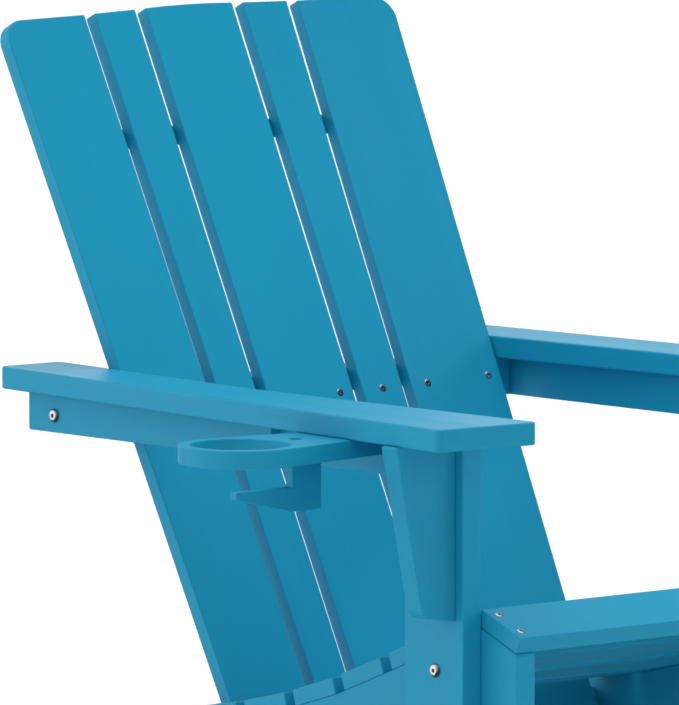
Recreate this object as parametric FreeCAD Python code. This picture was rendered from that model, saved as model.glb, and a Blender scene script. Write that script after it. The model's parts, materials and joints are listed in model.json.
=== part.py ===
import FreeCAD, Part
import math
import os

# Adirondack chair with a cup holder, built from poly-lumber boards and stainless fasteners.
# Millimetres, +Z up, the sitter faces -Y, and +X is the sitter's left.
# The boards are laid out about the chair's own middle plane x = 0, with y = 0 at the arms'
# front ends. Everything is then moved so that the origin is the middle of the footprint.

V = FreeCAD.Vector
NEAR = 0.001

# ---- boards ----
BOARD = 22.0             # thickness of arms, rails and gussets
LEG_BOARD = 24.0         # thickness of the front legs and the stringers
SLAT = 14.9              # thickness of the back slats
SEAT_SLAT = 17.0
ARM_ROUND = 2.0          # rounded-over edges of the arms
ROUND = 1.4              # eased edges of the other boards

# ---- arms ----
ARM_TOP = 560.0
ARM_FRONT_HALF = 375.0   # half of the width over the arms, at the front
ARM_LENGTH = 718.0
ARM_FLARE = 0.084        # how far the outer edge moves out per unit forward
ARM_FRONT_W = 120.0
ARM_KINK_Y = 380.0       # where the inner edge changes direction
ARM_KINK_W = 79.0
ARM_REAR_W = 74.0
ARM_CORNER = 8.0
ARM_KINK_R = 90.0

# ---- legs, gussets and arm rails ----
LEG_OUT = 298.5
LEG_FRONT = 50.0
LEG_DEPTH = 83.5
GUSSET_Y = 60.0
GUSSET_TOP_W = 76.0
GUSSET_LOW_W = 42.0
GUSSET_H = 172.0
GUSSET_DROP = 6.0        # how much lower the gusset's inner end is than its outer end
RAIL_H = 40.0
RAIL_END = 692.0
CLEAT_Y = 313.5
CLEAT_OUT = 12.5
CLEAT_H = 20.0

# ---- seat ----
STRINGER_OUT = LEG_OUT - LEG_BOARD
RAIL_IN = LEG_OUT - BOARD
SEAT_HALF = STRINGER_OUT - 1.0
SLAT_W = 62.0
FIRST_SLAT_W = 60.0
SLAT_PITCH = 74.0
LAST_SLAT_W = 46.0       # the rearmost seat slat, cut down to clear the back
RIDGE_Y = 51.0           # rear edge of the front slat, the highest line of the seat
RIDGE_Z = 376.6
NOSE_SLOPE = 22.5
SEAT_Y = 60.0            # front edge of the second slat
SEAT_Z = 372.0
SECOND_CUT = 4.8         # taken off the second slat's front edge, to clear the first slat
SEAT_SLOPES = [22.0, 22.0, 21.0, 16.8, 13.0, 9.5]
NOSE_Y = 0.0
NOSE_LOW = 245.0
REAR_Y = 853.0
REAR_H = 58.0
FOOT_START = 764.0

# ---- back ----
BACK_Y = 628.6           # front face of the back at arm-top height, on the middle plane
BACK_TILT = 26.24
BACK_LOW = -450.0        # lower ends of the slats, along the back from arm-top height
BACK_TOP = 379.0         # where the slats' tops would meet, along the back likewise
TOP_FALL = 0.045         # how the tops fall away from the middle
TOP_CORNER = 25.0
TOP_R = 1200.0           # the middle slat's top is a flat arch
EDGES_AT_ARM = [56.2, 69.2, 120.8, 133.2, 246.0]    # slat edges, from the middle outwards
EDGE_SPREAD = [0.004, 0.0057, 0.0185, 0.0215, 0.0315]
EDGE_FORWARD = [0.0, 0.0, 2.4, 2.4, 12.3]   # how far they lie forward of the middle slat
SIDE_SLANT = 0.02        # the slats' side faces are nearly square to the middle slat
CLEARANCE = 0.3          # between the slats and the front edges that follow them
BEND_R = 20.0
CROSS_DEPTH = 52.0
BLOCK_W = 30.0           # corner blocks between the arm rails and the cross board
LOWER_RAIL_V = -443.0
LOWER_RAIL_H = 60.0
BATTEN_V = 226.0
BATTEN_H = 20.0
BATTEN_HALF = 212.0

# ---- cup holder ----
CUP_X = -464.0
CUP_Y = 182.0
CUP_R = 48.0
CUP_OUT_R = 59.5
CUP_LIP = 1.4
CUP_PLATE = 18.0
CUP_TAIL_HALF = 34.0     # half width of the plate where it meets the arm rail
REST_POST = [61.0, 98.5]
REST_TIP = -9.5
REST_DEPTH = 9.5
REST_TOP = 45.5          # tongue top, below the plate's top
REST_BOTTOM = 69.0
REST_TIP_H = 7.0
REST_HOLE = 69.5
REST_HOLE_R = 6.2
REST_HOLE_DEEP = 9.0

# ---- fasteners ----
BOLT_HEAD_R = 7.0
BOLT_HEAD_H = 3.2
BOLT_SHANK_R = 3.0
NUT_R = 8.0
NUT_H = 2.0
SCREW_HEAD_R = 4.0
SCREW_SHANK_R = 2.0
SCREW_LENGTH = 34.0
BOLT_BACK = 38.8         # leg bolts, from the leg's front edge
BOLT_HIGH = 316.3
BOLT_LOW = 248.0
RAIL_BOLT_Y = 652.0
RAIL_BOLT_Z = 515.0
BACK_SCREW_DROP = 42.5   # screws through the back slats, below arm-top height
SCREW_INSETS = [18.0, 20.5, 15.5]    # from the middle slat's edge, a wide slat's inner and outer

ARM_UNDER = ARM_TOP - BOARD
TILT = math.radians(BACK_TILT)
BACK_UP = V(0, math.sin(TILT), math.cos(TILT))
BACK_IN = V(0, math.cos(TILT), -math.sin(TILT))

nodes = {}
fasteners = {}


# ---------------------------------------------------------------- shape helpers

def outline(points, radii):
    """A closed wire through points, with each corner rounded by its radius."""
    starts = []
    middles = []
    ends = []
    for i, here in enumerate(points):
        before = V(points[i - 1] - here).normalize()
        after = V(points[(i + 1) % len(points)] - here).normalize()
        half = before.getAngle(after) / 2
        bisector = V(before + after).normalize()
        reach = radii[i] / math.tan(half)
        starts.append(here + before * reach)
        ends.append(here + after * reach)
        middles.append(here + bisector * (radii[i] / math.sin(half) - radii[i]))
    edges = []
    for i in range(len(points)):
        if radii[i] > 0:
            edges.append(Part.Arc(starts[i], middles[i], ends[i]).toShape())
        following = starts[(i + 1) % len(points)]
        if ends[i].distanceToPoint(following) > NEAR:
            edges.append(Part.LineSegment(ends[i], following).toShape())
    return Part.Wire(edges)


def rounded(solid, along, radius):
    """Rounds the rims of a board's two faces, which lie across the direction along."""
    way = V(along).normalize()
    rim = [e for e in solid.Edges if abs(e.tangentAt(e.FirstParameter).dot(way)) < 0.5]
    return solid.makeFillet(radius, rim)


def board(points, radii, thickness, radius):
    """A flat board: an outline pushed along the thickness vector, with its rims rounded."""
    solid = Part.Face(outline(points, radii)).extrude(thickness)
    return rounded(solid, thickness, radius)


def mirrored(shape):
    return shape.mirror(V(0, 0, 0), V(1, 0, 0))


def pair(name, right_shape):
    """A part on the sitter's right and its mirror image on the left."""
    nodes[name + "_right"] = right_shape
    nodes[name + "_left"] = mirrored(right_shape)


def turned(profile, base, direction):
    """A solid of revolution: profile is (radius, height) points, closed on its axis."""
    points = [V(0, 0, profile[0][1])]
    points += [V(r, 0, h) for r, h in profile]
    points += [V(0, 0, profile[-1][1]), V(0, 0, profile[0][1])]
    solid = Part.Face(Part.makePolygon(points)).revolve(V(0, 0, 0), V(0, 0, 1), 360)
    return placed(solid, base, direction)


def placed(shape, base, direction):
    """Turns a shape made along +Z to point along direction, and moves it to base."""
    turn = FreeCAD.Rotation(V(0, 0, 1), V(direction))
    copy = shape.copy()
    copy.Placement = FreeCAD.Placement(base, turn).multiply(copy.Placement)
    return copy


def hex_recess(across, depth, base, direction):
    """A hexagonal socket, cut inwards from base, against direction."""
    corner = across / math.sqrt(3)
    ring = [V(corner * math.cos(a), corner * math.sin(a), 0)
            for a in [math.radians(60 * k) for k in range(6)]]
    prism = Part.Face(Part.makePolygon(ring + [ring[0]])).extrude(V(0, 0, -depth))
    return placed(prism, base, direction)


def screw(head, direction, length=SCREW_LENGTH):
    """A countersunk screw. head is the surface point, direction points out of the board."""
    out = V(direction).normalize()
    crown = 0.5
    sink = SCREW_HEAD_R - SCREW_SHANK_R
    profile = [(SCREW_HEAD_R - 0.8, crown), (SCREW_HEAD_R, 0.1), (SCREW_HEAD_R, -0.4),
               (SCREW_SHANK_R, -0.4 - sink), (SCREW_SHANK_R, 3 - length), (0.3, -length)]
    body = turned(profile[::-1], head, out)
    return body.cut(hex_recess(3.0, 2.0, head + out * 1.0, out))


def bolt(head, direction, length):
    """A button-head bolt. head is the surface point, direction points out of the board."""
    out = V(direction).normalize()
    profile = [(BOLT_HEAD_R - 2.6, BOLT_HEAD_H), (BOLT_HEAD_R - 0.9, BOLT_HEAD_H - 1.0),
               (BOLT_HEAD_R, 0.6), (BOLT_HEAD_R, 0.0), (BOLT_SHANK_R, 0.0),
               (BOLT_SHANK_R, 0.5 - length), (BOLT_SHANK_R - 0.5, -length)]
    body = turned(profile[::-1], head, out)
    return body.cut(hex_recess(4.0, 2.4, head + out * BOLT_HEAD_H, out))


def cap_nut(face, direction, length):
    """A sleeve nut with a thin flange on the face, round the end of a bolt."""
    out = V(direction).normalize()
    sleeve = Part.makeCylinder(BOLT_SHANK_R + 1.6, length, V(0, 0, -length))
    flange = Part.makeCylinder(NUT_R, NUT_H)
    hollow = Part.makeCylinder(BOLT_SHANK_R, length, V(0, 0, -length))
    body = flange.fuse(sleeve).cut(hollow).removeSplitter()
    body = placed(body, face, out)
    return body.cut(hex_recess(5.0, 1.2, face + out * NUT_H, out))


def fasten(name, piece):
    fasteners.setdefault(name, []).append(piece)


# ---------------------------------------------------------------- arms and front legs

def arm_outer(y):
    """Half width over the arms at distance y behind their front ends."""
    return ARM_FRONT_HALF - ARM_FLARE * y


def make_arms():
    front = V(-ARM_FRONT_HALF, 0, ARM_UNDER)
    rear = V(-arm_outer(ARM_LENGTH), ARM_LENGTH, ARM_UNDER)
    points = [front,
              front + V(ARM_FRONT_W, -ARM_FLARE * ARM_FRONT_W, 0),
              V(ARM_KINK_W - arm_outer(ARM_KINK_Y), ARM_KINK_Y, ARM_UNDER),
              rear + V(ARM_REAR_W, -ARM_FLARE * ARM_REAR_W, 0),
              rear]
    radii = [ARM_CORNER, ARM_CORNER, ARM_KINK_R, ARM_CORNER, ARM_CORNER]
    pair("arm", board(points, radii, V(0, 0, BOARD), ARM_ROUND))


def make_legs():
    x = -LEG_OUT
    low = V(x, LEG_FRONT, 0)
    high = V(x, LEG_FRONT, ARM_UNDER)
    back = V(0, LEG_DEPTH, 0)
    pair("front_leg", board([low, low + back, high + back, high], [ROUND + 0.2] * 4,
                            V(LEG_BOARD, 0, 0), ROUND))


def make_gussets():
    top = V(-LEG_OUT, GUSSET_Y, ARM_UNDER)
    points = [top,
              top + V(-GUSSET_TOP_W, 0, 0),
              top + V(-GUSSET_LOW_W, 0, -GUSSET_H + GUSSET_DROP),
              top + V(0, 0, -GUSSET_H)]
    radii = [1.6, 1.6, 12.0, 1.6]
    pair("arm_gusset", board(points, radii, V(0, BOARD, 0), ROUND))


def make_arm_rails():
    start = LEG_FRONT + LEG_DEPTH
    low = V(-LEG_OUT, start, ARM_UNDER - RAIL_H)
    points = [low, V(-LEG_OUT, RAIL_END, ARM_UNDER - RAIL_H),
              V(-LEG_OUT, RAIL_END, ARM_UNDER), V(-LEG_OUT, start, ARM_UNDER)]
    pair("arm_rail", board(points, [ROUND + 0.2] * 4, V(BOARD, 0, 0), ROUND))


# ---------------------------------------------------------------- seat

def seat_lines():
    """(front top corner, slope) of each seat slat, front to rear, in the plane x = 0."""
    slope = math.radians(NOSE_SLOPE)
    nose = V(0, RIDGE_Y - FIRST_SLAT_W * math.cos(slope),
             RIDGE_Z - FIRST_SLAT_W * math.sin(slope))
    lines = [(nose, slope)]
    corner = V(0, SEAT_Y, SEAT_Z)      # where the second slat's full width would start
    for degrees in SEAT_SLOPES:
        slope = -math.radians(degrees)
        lines.append((corner, slope))
        corner = corner + V(0, SLAT_PITCH * math.cos(slope), SLAT_PITCH * math.sin(slope))
    second, slope = lines[1]
    lines[1] = (second + V(0, SECOND_CUT * math.cos(slope), SECOND_CUT * math.sin(slope)), slope)
    return lines


def make_seat_slats():
    widths = [FIRST_SLAT_W, SLAT_W - SECOND_CUT]
    widths += [SLAT_W] * (len(SEAT_SLOPES) - 2) + [LAST_SLAT_W]
    for number, ((corner, slope), width) in enumerate(zip(seat_lines(), widths), 1):
        along = V(0, math.cos(slope), math.sin(slope))
        down = V(0, math.sin(slope), -math.cos(slope))
        left = V(SEAT_HALF, 0, 0)
        points = [corner - left, corner + left, corner + left + along * width,
                  corner - left + along * width]
        slat = board(points, [ROUND + 0.2] * 4, down * SEAT_SLAT, ROUND)
        nodes["seat_slat_%d" % number] = slat
        for side in (-1, 1):
            for share in (0.22, 0.78):
                spot = corner + V(side * (SEAT_HALF - 12.0), 0, 0) + along * (width * share)
                fasten("seat_slat_screws", screw(spot, down * -1))


def underside(line):
    """A point on a slat's underside, and its direction, in the (y, z) plane."""
    corner, slope = line
    down = V(0, math.sin(slope), -math.cos(slope))
    return corner + down * SEAT_SLAT, slope


def crossing(first, second):
    """Where two lines, each a point and a slope, cross in the (y, z) plane."""
    a, slope_a = first
    b, slope_b = second
    grade_a = math.tan(slope_a)
    grade_b = math.tan(slope_b)
    y = (b.z - a.z + grade_a * a.y - grade_b * b.y) / (grade_a - grade_b)
    return V(0, y, a.z + grade_a * (y - a.y))


def make_stringers():
    lines = [underside(line) for line in seat_lines()]
    nose, slope = lines[0]
    top = [V(0, NOSE_Y, nose.z + math.tan(slope) * (NOSE_Y - nose.y))]
    for i in range(len(lines) - 1):
        if abs(lines[i][1] - lines[i + 1][1]) > NEAR:
            top.append(crossing(lines[i], lines[i + 1]))
    last, slope = lines[-1]
    behind = last + V(0, SLAT_PITCH + 26.0, math.tan(slope) * (SLAT_PITCH + 26.0))
    points = top + [behind, V(0, REAR_Y, REAR_H), V(0, REAR_Y, 0), V(0, FOOT_START, 0),
                    V(0, NOSE_Y, NOSE_LOW)]
    radii = [4.0] + [0.0] * (len(top) - 1) + [120.0, 30.0, 6.0, 40.0, 12.0]
    shift = V(-STRINGER_OUT, 0, 0)
    points = [p + shift for p in points]
    pair("stringer", board(points, radii, V(LEG_BOARD, 0, 0), ROUND))


# ---------------------------------------------------------------- back

def edge_x(i, v):
    """Half width of edge line i, at v along the back from arm-top height."""
    return EDGES_AT_ARM[i] + EDGE_SPREAD[i] * v


def back_point(x, v, depth=0.0):
    """A point of the back: x across, v along it, depth behind its middle plane's face."""
    return V(x, BACK_Y, ARM_TOP) + BACK_UP * v + BACK_IN * depth


def top_v(x):
    return BACK_TOP - TOP_FALL * abs(x)


def slat_turn(inner, outer):
    """How far a slat between two edge lines is turned to face the sitter."""
    reach = EDGES_AT_ARM[outer] - EDGES_AT_ARM[inner]
    return (EDGE_FORWARD[outer] - EDGE_FORWARD[inner]) / reach


def forward(inner, outer, x):
    """How far that slat's face lies forward of the middle slat's face, at x."""
    return EDGE_FORWARD[inner] + slat_turn(inner, outer) * (x - EDGES_AT_ARM[inner])


def slat_point(inner, outer, x, v):
    return back_point(x, v, -forward(inner, outer, x))


def side_slat(inner, outer, corner):
    """A flat slat between edge lines inner and outer."""
    points = []
    for i, v in ((inner, BACK_LOW), (outer, BACK_LOW)):
        points.append(slat_point(inner, outer, edge_x(i, v), v))
    for i in (outer, inner):
        x = edge_x(i, BACK_TOP)
        points.append(slat_point(inner, outer, x, top_v(x)))
    small = ROUND + 0.2
    rearwards = BACK_IN + V(SIDE_SLANT, 0, 0)
    return board(points, [small, small, corner, small], rearwards * SLAT, ROUND)


def make_back_slats():
    small = ROUND + 0.2
    narrow = side_slat(1, 2, small)
    wide = side_slat(3, 4, TOP_CORNER)
    low = edge_x(0, BACK_LOW)
    high = edge_x(0, BACK_TOP)
    points = [back_point(-low, BACK_LOW), back_point(low, BACK_LOW),
              back_point(high, top_v(high)), back_point(0, top_v(0)),
              back_point(-high, top_v(high))]
    middle = board(points, [small, small, small, TOP_R, small], BACK_IN * SLAT, ROUND)
    nodes["back_slat_1"] = mirrored(wide)
    nodes["back_slat_2"] = mirrored(narrow)
    nodes["back_slat_3"] = middle
    nodes["back_slat_4"] = narrow
    nodes["back_slat_5"] = wide


def make_cross_members():
    """The three members behind the slats, each with a front edge cut to follow them."""
    def member(half, depth, v, push):
        bends = [edge_x(1, v), edge_x(3, v), half]
        steps = [0.0, forward(3, 4, bends[1]), forward(3, 4, half)]
        side = [V(x, (SLAT + CLEARANCE - step) / math.cos(TILT), 0)
                for x, step in zip(bends, steps)]
        side.append(V(half, side[-1].y + depth, 0))
        points = side + [V(-p.x, p.y, 0) for p in side[::-1]]
        small = ROUND + 0.2
        bent = [BEND_R, BEND_R, small, small]
        face = Part.Face(outline(points, bent + bent[::-1]))
        base = back_point(0, v)
        face.translate(V(0, base.y, base.z))
        return rounded(face.extrude(push), push, ROUND)

    drop = BOARD / math.cos(TILT)
    v_top = (ARM_UNDER - ARM_TOP) / math.cos(TILT)
    cross = member(RAIL_IN - BLOCK_W, CROSS_DEPTH, v_top, BACK_UP * -drop)
    nodes["arm_cross_board"] = cross
    lower = member(STRINGER_OUT - LEG_BOARD - 0.5, BOARD / math.cos(TILT), LOWER_RAIL_V,
                   BACK_UP * LOWER_RAIL_H)
    nodes["lower_back_rail"] = lower
    batten = member(BATTEN_HALF, BOARD, BATTEN_V, BACK_UP * BATTEN_H)
    nodes["upper_back_batten"] = batten


def make_corner_blocks():
    front = BACK_Y - 11.5
    rear = RAIL_END - 4.0
    low = ARM_UNDER - RAIL_H
    points = [V(-RAIL_IN, front, low), V(-RAIL_IN, rear, low),
              V(-RAIL_IN, rear, ARM_UNDER), V(-RAIL_IN, front, ARM_UNDER)]
    pair("corner_block", board(points, [ROUND + 0.2] * 4, V(BLOCK_W, 0, 0), ROUND))


def make_arm_cleat():
    """A short block under the right arm, against the rail's outer face."""
    low = V(-LEG_OUT - CLEAT_OUT, CLEAT_Y, ARM_UNDER - CLEAT_H)
    nodes["arm_cleat"] = rounded(Part.makeBox(CLEAT_OUT, BOARD, CLEAT_H, low), V(1, 0, 0), 1.0)


# ---------------------------------------------------------------- cup holder

def make_cup_holder():
    low = ARM_UNDER - CUP_PLATE
    centre = V(CUP_X, CUP_Y, low)
    reach = -LEG_OUT - CUP_X
    lean = math.atan2(CUP_OUT_R - CUP_TAIL_HALF, reach)
    touch = V(math.sin(lean), -math.cos(lean), 0) * CUP_OUT_R
    tail = V(reach, -CUP_TAIL_HALF, 0)

    def flip(p):
        return V(p.x, -p.y, p.z)

    round_end = Part.Arc(centre + touch, centre + V(-CUP_OUT_R, 0, 0), centre + flip(touch))
    sides = Part.makePolygon([centre + flip(touch), centre + flip(tail), centre + tail,
                              centre + touch])
    plate = Part.Face(Part.Wire([round_end.toShape()] + sides.Edges)).extrude(V(0, 0, CUP_PLATE))
    plate = rounded(plate, V(0, 0, 1), ROUND)
    plate = plate.cut(Part.makeCylinder(CUP_R, CUP_PLATE, centre))
    lips = [e for e in plate.Edges if e.Curve.TypeId == "Part::GeomCircle"
            and abs(e.Curve.Radius - CUP_R) < NEAR and len(e.Vertexes) == 1]
    plate = plate.makeFillet(CUP_LIP, lips)
    head = V(CUP_X + REST_HOLE, CUP_Y, ARM_UNDER - REST_HOLE_DEEP)
    recess = Part.makeCylinder(REST_HOLE_R, REST_HOLE_DEEP, head)
    nodes["cup_ring_plate"] = plate.cut(recess)
    fasten("cup_rest_screws", screw(head, V(0, 0, 1)))

    front = CUP_Y - REST_DEPTH / 2
    top = low
    tongue = ARM_UNDER - REST_TOP
    bottom = ARM_UNDER - REST_BOTTOM
    outer = CUP_X + REST_POST[0]
    inner = CUP_X + REST_POST[1]
    tip = CUP_X + REST_TIP
    points = [V(outer, front, top), V(outer, front, tongue), V(tip, front, tongue),
              V(tip, front, tongue - REST_TIP_H), V(outer, front, bottom),
              V(inner, front, bottom), V(inner, front, top)]
    radii = [1.2, 1.5, 2.5, 2.5, 5.0, 2.0, 1.2]
    nodes["cup_rest"] = board(points, radii, V(0, REST_DEPTH, 0), 1.0)
    for x, y in ((-348.0, -14.0), (-348.0, 14.0), (-316.0, 0.0)):
        fasten("cup_plate_screws", screw(V(x, CUP_Y + y, low), V(0, 0, -1), 32.0))


# ---------------------------------------------------------------- fasteners

def make_bolts():
    for side in (-1, 1):
        for z in (BOLT_HIGH, BOLT_LOW):
            y = LEG_FRONT + BOLT_BACK
            fasten("leg_bolts", bolt(V(side * LEG_OUT, y, z), V(side, 0, 0), 2 * LEG_BOARD - 4))
            inside = V(side * (STRINGER_OUT - LEG_BOARD), y, z)
            fasten("leg_bolt_nuts", cap_nut(inside, V(-side, 0, 0), 14.0))
        start = V(side * LEG_OUT, RAIL_BOLT_Y, RAIL_BOLT_Z)
        fasten("rail_bolts", bolt(start, V(side, 0, 0), BOARD + BLOCK_W - 4))
        for v in (LOWER_RAIL_V + 16, LOWER_RAIL_V + LOWER_RAIL_H - 16):
            middle = back_point(0, v, SLAT + BOARD / 2)
            spot = V(side * STRINGER_OUT, middle.y, middle.z)
            fasten("lower_rail_bolts", bolt(spot, V(side, 0, 0), LEG_BOARD + 40))


def back_screw_spots(v):
    """Where screws meet the slats' faces, at v along the back, with the way out of the face."""
    middle, inner, outer = SCREW_INSETS
    spots = [(back_point(x, v), BACK_IN * -1)
             for x in (middle - EDGES_AT_ARM[0], EDGES_AT_ARM[0] - middle)]
    for i, x in ((1, (edge_x(1, v) + edge_x(2, v)) / 2), (3, edge_x(3, v) + inner),
                 (3, edge_x(4, v) - outer)):
        point = slat_point(i, i + 1, x, v)
        out = V(BACK_IN + V(slat_turn(i, i + 1), 0, 0)) * -1
        spots.append((point, out))
        spots.append((V(-point.x, point.y, point.z), V(-out.x, out.y, out.z)))
    return spots


def make_screws():
    for spot, out in back_screw_spots(-BACK_SCREW_DROP / math.cos(TILT)):
        fasten("back_slat_screws", screw(spot, out))
    for spot, out in back_screw_spots(LOWER_RAIL_V + LOWER_RAIL_H / 2):
        fasten("lower_back_screws", screw(spot, out))
    v_batten = BATTEN_V + BATTEN_H / 2
    rear = SLAT + CLEARANCE - forward(3, 4, BATTEN_HALF) + BOARD * math.cos(TILT)
    for spot, _ in back_screw_spots(v_batten):
        if abs(spot.x) < BATTEN_HALF - SCREW_HEAD_R:
            fasten("batten_screws", screw(back_point(spot.x, v_batten, rear), BACK_IN, 22.0))
    for side in (-1, 1):
        for y in (200.0, 390.0, 580.0):
            spot = V(side * (LEG_OUT - BOARD / 2), y, ARM_UNDER - RAIL_H)
            fasten("arm_screws", screw(spot, V(0, 0, -1), 56.0))
        for z in (ARM_UNDER - 40.0, ARM_UNDER - 130.0):
            spot = V(side * STRINGER_OUT, GUSSET_Y + BOARD / 2, z)
            fasten("gusset_screws", screw(spot, V(-side, 0, 0), 52.0))
        for y in (RAIL_BOLT_Y - 18.0, RAIL_BOLT_Y + 14.0):
            spot = V(side * RAIL_IN, y, ARM_UNDER - BOARD / 2)
            fasten("cross_board_screws", screw(spot, V(side, 0, 0), BLOCK_W + 24.0))


def with_holes(shape):
    """A board with the holes that its fasteners fill, without the plugs left in the sockets."""
    box = shape.BoundBox
    for group in fasteners.values():
        for piece in group:
            if box.intersect(piece.BoundBox) and shape.distToShape(piece)[0] < NEAR:
                shape = max(shape.cut(piece).Solids, key=lambda solid: solid.Volume)
    return shape


for make in (make_arms, make_legs, make_gussets, make_arm_rails, make_arm_cleat,
             make_seat_slats, make_stringers, make_back_slats, make_cross_members,
             make_corner_blocks, make_cup_holder, make_bolts, make_screws):
    make()

for name in nodes:
    nodes[name] = with_holes(nodes[name])
for name, group in fasteners.items():
    nodes[name] = Part.makeCompound(group)

whole = Part.makeCompound(list(nodes.values())).optimalBoundingBox(False, False)
to_origin = V(-whole.Center.x, -whole.Center.y, 0)
os.makedirs("parts", exist_ok=True)
for name, shape in nodes.items():
    shape.translate(to_origin)
    shape.exportStep("parts/%s.step" % name)
    box = shape.BoundBox
    print(name, len(shape.Solids), round(shape.Volume), shape.isValid(),
          [round(n, 1) for n in (box.XMin, box.XMax, box.YMin, box.YMax, box.ZMin, box.ZMax)])
print("moved by", to_origin, "size", whole.XLength, whole.YLength, whole.ZLength)
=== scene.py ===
import bpy
import json
import math
import numpy as np
from mathutils import Matrix, Vector


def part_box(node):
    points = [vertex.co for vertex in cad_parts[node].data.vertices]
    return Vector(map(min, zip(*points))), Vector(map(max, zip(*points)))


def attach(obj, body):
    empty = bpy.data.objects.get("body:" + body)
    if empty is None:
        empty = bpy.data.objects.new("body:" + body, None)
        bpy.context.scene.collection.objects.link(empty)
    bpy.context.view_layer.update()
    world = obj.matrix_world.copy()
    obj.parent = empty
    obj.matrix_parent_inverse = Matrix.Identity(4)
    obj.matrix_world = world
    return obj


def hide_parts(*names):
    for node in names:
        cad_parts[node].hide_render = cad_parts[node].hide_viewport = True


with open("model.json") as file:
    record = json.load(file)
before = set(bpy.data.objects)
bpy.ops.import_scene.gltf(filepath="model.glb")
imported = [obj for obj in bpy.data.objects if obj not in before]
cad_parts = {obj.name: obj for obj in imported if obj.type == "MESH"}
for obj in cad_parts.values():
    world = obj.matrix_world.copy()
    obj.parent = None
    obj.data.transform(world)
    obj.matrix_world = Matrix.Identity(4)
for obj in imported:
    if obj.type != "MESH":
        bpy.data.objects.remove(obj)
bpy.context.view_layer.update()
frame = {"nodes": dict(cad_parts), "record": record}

# ---- facts of the chair that the looks need, in metres and degrees ----
BACK_TILT = math.radians(26.24)
STRINGER_FALL = math.radians(20.0)
SHARP = math.radians(33.0)       # edges bent more than this stay crisp
WELD = 1e-6                      # corners closer than this are one corner
END_SHARE = 0.06                 # share of a board's length that counts as its end
NUMBER_SHIFT = np.array([1.7, 0.9, 0.6])    # moves each board to its own part of the grain
GOLDEN = 0.618034                # spreads the boards' tones evenly
TONE_LOW = 0.12
TONE_RANGE = 0.16

# Grain direction of each kind of board: the way its length runs.
ALONG_X = Vector((1, 0, 0))
ALONG_Y = Vector((0, 1, 0))
ALONG_Z = Vector((0, 0, 1))
UP_BACK = Vector((0, math.sin(BACK_TILT), math.cos(BACK_TILT)))
DOWN_SEAT = Vector((0, math.cos(STRINGER_FALL), -math.sin(STRINGER_FALL)))
GRAIN = {
    "arm_right": ALONG_Y, "arm_left": ALONG_Y, "arm_rail": ALONG_Y, "arm_gusset": ALONG_Z,
    "arm_cleat": ALONG_Z, "arm_cross_board": ALONG_X, "front_leg": ALONG_Z,
    "seat_slat": ALONG_X, "stringer": DOWN_SEAT, "back_slat": UP_BACK,
    "lower_back_rail": ALONG_X, "upper_back_batten": ALONG_X, "corner_block": ALONG_Z,
    "cup_ring_plate": ALONG_X, "cup_rest": ALONG_X,
}


# ---------------------------------------------------------------- node helpers

def new_material(name):
    """An empty node material with a Principled shader, and short ways to add and link nodes."""
    material = bpy.data.materials.new(name)
    material.use_nodes = True
    tree = material.node_tree
    tree.nodes.clear()
    out = tree.nodes.new("ShaderNodeOutputMaterial")
    shader = tree.nodes.new("ShaderNodeBsdfPrincipled")
    tree.links.new(shader.outputs["BSDF"], out.inputs["Surface"])

    def add(kind, **values):
        node = tree.nodes.new(kind)
        for key, value in values.items():
            if key in node.inputs:
                node.inputs[key].default_value = value
            else:
                setattr(node, key, value)
        return node

    def link(source, target):
        tree.links.new(source, target)

    return material, shader, add, link


def stretched_noise(add, link, source, stretch, scale, detail, roughness=0.55):
    """Noise over the source coordinates, after they are scaled by the stretch vector."""
    mapping = add("ShaderNodeMapping")
    mapping.inputs["Scale"].default_value = stretch
    link(source, mapping.inputs["Vector"])
    noise = add("ShaderNodeTexNoise", Scale=scale, Detail=detail, Roughness=roughness)
    link(mapping.outputs["Vector"], noise.inputs["Vector"])
    return noise.outputs["Fac"]


def remap(add, link, value, low, high, to_low, to_high):
    """A straight-line change of range, clamped at its ends."""
    node = add("ShaderNodeMapRange", clamp=True)
    for socket, number in zip(("From Min", "From Max", "To Min", "To Max"),
                              (low, high, to_low, to_high)):
        node.inputs[socket].default_value = number
    link(value, node.inputs["Value"])
    return node.outputs["Result"]


# ---------------------------------------------------------------- materials

LUMBER_DARK = (0.0058, 0.272, 0.450, 1)
LUMBER_LIGHT = (0.0078, 0.305, 0.497, 1)


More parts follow.
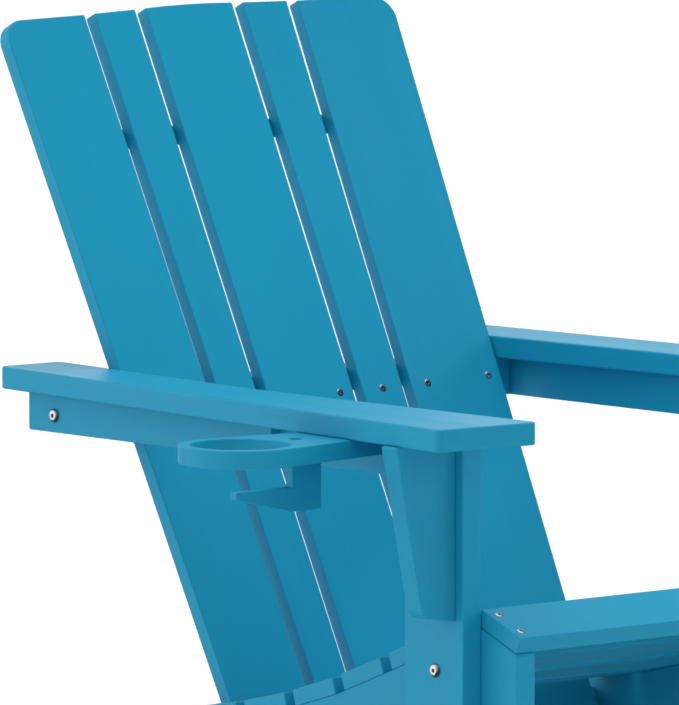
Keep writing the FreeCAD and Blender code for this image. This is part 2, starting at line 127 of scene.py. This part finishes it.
def lumber_material():
    """Dyed-through poly lumber: satin, with fine lengthwise grain pressed into the skin."""
    material, shader, add, link = new_material("poly_lumber")
    place = add("ShaderNodeAttribute", attribute_name="grain_space").outputs["Vector"]
    tone = add("ShaderNodeAttribute", attribute_name="board_tone").outputs["Fac"]

    streaks = stretched_noise(add, link, place, (7.0, 420.0, 420.0), 1.0, 5.0, 0.6)
    bands = stretched_noise(add, link, place, (2.2, 46.0, 46.0), 1.0, 3.0)
    clouds = stretched_noise(add, link, place, (5.0, 9.0, 9.0), 1.0, 2.0)
    pits = stretched_noise(add, link, place, (160.0, 900.0, 900.0), 1.0, 2.0)

    colour_mix = add("ShaderNodeMix", data_type="RGBA")
    colour_in = [s for s in colour_mix.inputs if s.type == "RGBA"]
    colour_in[0].default_value = LUMBER_DARK
    colour_in[1].default_value = LUMBER_LIGHT
    share = add("ShaderNodeMath", operation="MULTIPLY_ADD")
    link(remap(add, link, streaks, 0.3, 0.7, 0.0, 0.30), share.inputs[0])
    share.inputs[1].default_value = 1.0
    bands_share = add("ShaderNodeMath", operation="MULTIPLY_ADD")
    link(remap(add, link, bands, 0.3, 0.7, 0.0, 0.25), bands_share.inputs[0])
    bands_share.inputs[1].default_value = 1.0
    cloud_share = add("ShaderNodeMath", operation="ADD")
    link(remap(add, link, clouds, 0.3, 0.7, 0.0, 0.25), cloud_share.inputs[0])
    link(tone, cloud_share.inputs[1])
    link(cloud_share.outputs[0], bands_share.inputs[2])
    link(bands_share.outputs[0], share.inputs[2])
    link(share.outputs[0], colour_mix.inputs[0])
    link([s for s in colour_mix.outputs if s.type == "RGBA"][0], shader.inputs["Base Color"])

    rough = remap(add, link, bands, 0.3, 0.7, 0.46, 0.54)
    link(rough, shader.inputs["Roughness"])
    shader.inputs["IOR"].default_value = 1.5
    shader.inputs["Specular IOR Level"].default_value = 0.26

    fine = add("ShaderNodeBump", Strength=0.16, Distance=0.00035)
    link(streaks, fine.inputs["Height"])
    pitted = add("ShaderNodeBump", Strength=0.08, Distance=0.0002)
    link(pits, pitted.inputs["Height"])
    link(fine.outputs["Normal"], pitted.inputs["Normal"])
    link(pitted.outputs["Normal"], shader.inputs["Normal"])
    return material


STEEL_DARK = (0.44, 0.44, 0.45, 1)
STEEL_LIGHT = (0.62, 0.62, 0.63, 1)


def stainless_material():
    """Brushed stainless steel, slightly uneven in polish."""
    material, shader, add, link = new_material("steel")
    place = add("ShaderNodeTexCoord").outputs["Object"]
    smudges = stretched_noise(add, link, place, (260.0, 260.0, 260.0), 1.0, 3.0)
    brush = stretched_noise(add, link, place, (900.0, 900.0, 9000.0), 1.0, 2.0)
    tint = add("ShaderNodeMix", data_type="RGBA")
    colour_in = [s for s in tint.inputs if s.type == "RGBA"]
    colour_in[0].default_value = STEEL_DARK
    colour_in[1].default_value = STEEL_LIGHT
    link(smudges, tint.inputs[0])
    link([s for s in tint.outputs if s.type == "RGBA"][0], shader.inputs["Base Color"])
    shader.inputs["Metallic"].default_value = 1.0
    link(remap(add, link, smudges, 0.3, 0.7, 0.24, 0.40), shader.inputs["Roughness"])
    bump = add("ShaderNodeBump", Strength=0.10, Distance=0.00005)
    link(brush, bump.inputs["Height"])
    link(bump.outputs["Normal"], shader.inputs["Normal"])
    return material


# ---------------------------------------------------------------- pieces

def welded(node):
    """The node's corners joined where they meet, and its triangles, as arrays."""
    mesh = frame["nodes"][node].data
    mesh.calc_loop_triangles()
    corners = np.zeros(len(mesh.vertices) * 3)
    mesh.vertices.foreach_get("co", corners)
    corners = corners.reshape(-1, 3)
    triangles = np.zeros(len(mesh.loop_triangles) * 3, int)
    mesh.loop_triangles.foreach_get("vertices", triangles)
    keys = np.round(corners / WELD).astype(np.int64)
    _, first, back = np.unique(keys, axis=0, return_index=True, return_inverse=True)
    triangles = back.reshape(-1)[triangles].reshape(-1, 3)
    whole = (triangles[:, 0] != triangles[:, 1]) & (triangles[:, 1] != triangles[:, 2]) & \
            (triangles[:, 2] != triangles[:, 0])
    return corners[first], triangles[whole]


def kind_of(node):
    return next(key for key in sorted(GRAIN, key=len, reverse=True) if node.startswith(key))


def true_length(corners, guess):
    """The direction between the middles of a board's two ends, near the guessed direction."""
    along = corners @ np.array(guess)
    low, high = along.min(), along.max()
    reach = END_SHARE * (high - low)
    ends = []
    for end in (corners[along < low + reach], corners[along > high - reach]):
        ends.append((end.min(0) + end.max(0)) / 2)
    return Vector(ends[1] - ends[0]).normalized()


def add_grain(mesh, corners, node, number):
    """Stores each corner's place along and across the board, shifted so no two boards match."""
    guess = GRAIN[kind_of(node)]
    length = true_length(corners, guess)
    helper = ALONG_Z if abs(length.z) < 0.7 else ALONG_X
    across = length.cross(helper).normalized()
    through = length.cross(across)
    axes = np.array([length, across, through])
    places = corners @ axes.T + NUMBER_SHIFT * number
    attribute = mesh.attributes.new("grain_space", "FLOAT_VECTOR", "POINT")
    attribute.data.foreach_set("vector", places.astype(np.float32).ravel())
    tone = mesh.attributes.new("board_tone", "FLOAT", "POINT")
    shade = TONE_LOW + TONE_RANGE * ((number * GOLDEN) % 1.0)
    tone.data.foreach_set("value", np.full(len(corners), shade, np.float32))


def crisp_edges(mesh):
    """Smooth faces, with the edges that bend sharply kept sharp."""
    mesh.polygons.foreach_set("use_smooth", [True] * len(mesh.polygons))
    mesh.set_sharp_from_angle(angle=SHARP)


def make_piece(node, slot, number):
    material = materials[slot]
    corners, triangles = welded(node)
    mesh = bpy.data.meshes.new("look_" + node)
    mesh.from_pydata(corners.tolist(), [], triangles.tolist())
    mesh.validate()
    if slot == "lumber_blue":
        add_grain(mesh, corners, node, number)
    crisp_edges(mesh)
    mesh.materials.append(material)
    piece = bpy.data.objects.new("look_" + node, mesh)
    bpy.context.scene.collection.objects.link(piece)
    weighted = piece.modifiers.new("weighted", "WEIGHTED_NORMAL")
    weighted.keep_sharp = True
    weighted.weight = 100
    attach(piece, "root")
    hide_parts(node)


slots = {entry["node"]: entry["material_slot"] for entry in frame["record"]["subparts"]}
materials = {"lumber_blue": lumber_material(), "stainless": stainless_material()}
for number, node in enumerate(sorted(frame["nodes"])):
    make_piece(node, slots[node], number)


# ---------------------------------------------------------------- floor, light and camera

FLOOR_HALF = 60.0
FLOOR_DARK = (0.95, 0.95, 0.95, 1)
FLOOR_LIGHT = (0.97, 0.97, 0.97, 1)


def make_floor():
    """A wide pale floor that fills the view behind the chair."""
    corners = [(x * FLOOR_HALF, y * FLOOR_HALF, 0) for x, y in ((-1, -1), (1, -1), (1, 1), (-1, 1))]
    mesh = bpy.data.meshes.new("floor")
    mesh.from_pydata(corners, [], [(0, 1, 2, 3)])
    material, shader, add, link = new_material("floor_paint")
    place = add("ShaderNodeTexCoord").outputs["Object"]
    mottle = stretched_noise(add, link, place, (3.0, 3.0, 3.0), 1.0, 3.0)
    shade = add("ShaderNodeMix", data_type="RGBA")
    colour_in = [s for s in shade.inputs if s.type == "RGBA"]
    colour_in[0].default_value = FLOOR_DARK
    colour_in[1].default_value = FLOOR_LIGHT
    link(mottle, shade.inputs[0])
    link([s for s in shade.outputs if s.type == "RGBA"][0], shader.inputs["Base Color"])
    shader.inputs["Roughness"].default_value = 1.0
    shader.inputs["Specular IOR Level"].default_value = 0.0
    mesh.materials.append(material)
    floor = bpy.data.objects.new("floor", mesh)
    bpy.context.scene.collection.objects.link(floor)
    floor.visible_glossy = False


# Each light: where it comes from, its strength in W/m2, how wide it looks in degrees, and
# whether it shows in reflections. The studio's front and floor are dark to glossy surfaces.
WORLD_STRENGTH = 0.04
LIGHTS = {
    "overhead": ((0.0, 0.1, 1.0), 2.25, 80, True),
    "behind_right": ((-0.7, 0.9, 0.10), 1.30, 60, True),
    "right": ((-1.0, 0.0, 0.35), 0.55, 60, True),
    "right_front": ((-0.6, -0.8, 0.6), 0.37, 60, False),
    "left_front": ((0.95, -0.35, 0.3), 1.50, 40, False),
    "behind_left": ((0.6, 0.8, 0.10), 0.90, 50, True),
}


# A weak soft lamp over the seat's front edge lifts the inside of the back, seat and arms.
FILL_PLACE = (0.07, -0.32, 0.95)
FILL_TARGET = (0.07, 0.15, 0.45)
FILL_POWER = 0.65
FILL_SIZE = 0.45


def aim(thing, place, target):
    direction = Vector(target) - Vector(place)
    thing.location = place
    thing.rotation_euler = direction.to_track_quat("-Z", "Y").to_euler()


def add_light(name, kind, place, target, power, **settings):
    lamp = bpy.data.lights.new(name, kind)
    lamp.energy = power
    for key, value in settings.items():
        setattr(lamp, key, value)
    thing = bpy.data.objects.new(name, lamp)
    bpy.context.scene.collection.objects.link(thing)
    aim(thing, place, target)
    return thing


def make_lights():
    """Wide, soft lights all round, strongest from above, behind and the chair's left front."""
    world = bpy.data.worlds.new("studio")
    bpy.context.scene.world = world
    world.use_nodes = True
    sky = world.node_tree.nodes["Background"]
    sky.inputs["Color"].default_value = (1.0, 1.0, 1.0, 1)
    sky.inputs["Strength"].default_value = WORLD_STRENGTH
    for name, (place, power, spread, glossy) in LIGHTS.items():
        light = add_light(name, "SUN", place, (0, 0, 0), power, angle=math.radians(spread))
        light.visible_glossy = glossy
    fill = add_light("fill", "AREA", FILL_PLACE, FILL_TARGET, FILL_POWER, size=FILL_SIZE)
    fill.visible_glossy = False
    fill.visible_camera = False


# The camera looks past the right arm's front outer corner, which is placed from the front leg.
AZIMUTH = math.radians(41.426)
HEIGHT = math.radians(5.96)
CORNER_FROM_LEG = Vector((-0.0765, -0.050, 0.022))
CORNER_RIGHT = 0.09306           # how far right of the view's middle the corner lies
CORNER_BELOW = 0.07343
DISTANCE = 12.1104
LENS_MM = 654.9
FARTHEST = 300.0


def make_camera():
    """A long-lens camera in front of the chair's right corner, a little above arm height."""
    right = Vector((math.cos(AZIMUTH), -math.sin(AZIMUTH), 0))
    level = Vector((math.sin(AZIMUTH), math.cos(AZIMUTH), 0))
    forward = level * math.cos(HEIGHT) - ALONG_Z * math.sin(HEIGHT)
    up = right.cross(forward)
    low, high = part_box("front_leg_right")
    corner = Vector((low.x, low.y, high.z)) + CORNER_FROM_LEG
    place = corner - right * CORNER_RIGHT + up * CORNER_BELOW - forward * DISTANCE
    lens = bpy.data.cameras.new("camera")
    lens.lens = LENS_MM
    lens.clip_end = FARTHEST
    camera = bpy.data.objects.new("camera", lens)
    bpy.context.scene.collection.objects.link(camera)
    camera.matrix_world = Matrix((
        (right.x, up.x, -forward.x, place.x), (right.y, up.y, -forward.y, place.y),
        (right.z, up.z, -forward.z, place.z), (0, 0, 0, 1)))
    bpy.context.scene.camera = camera


make_floor()
make_lights()
make_camera()
bpy.context.scene.view_settings.view_transform = "Standard"
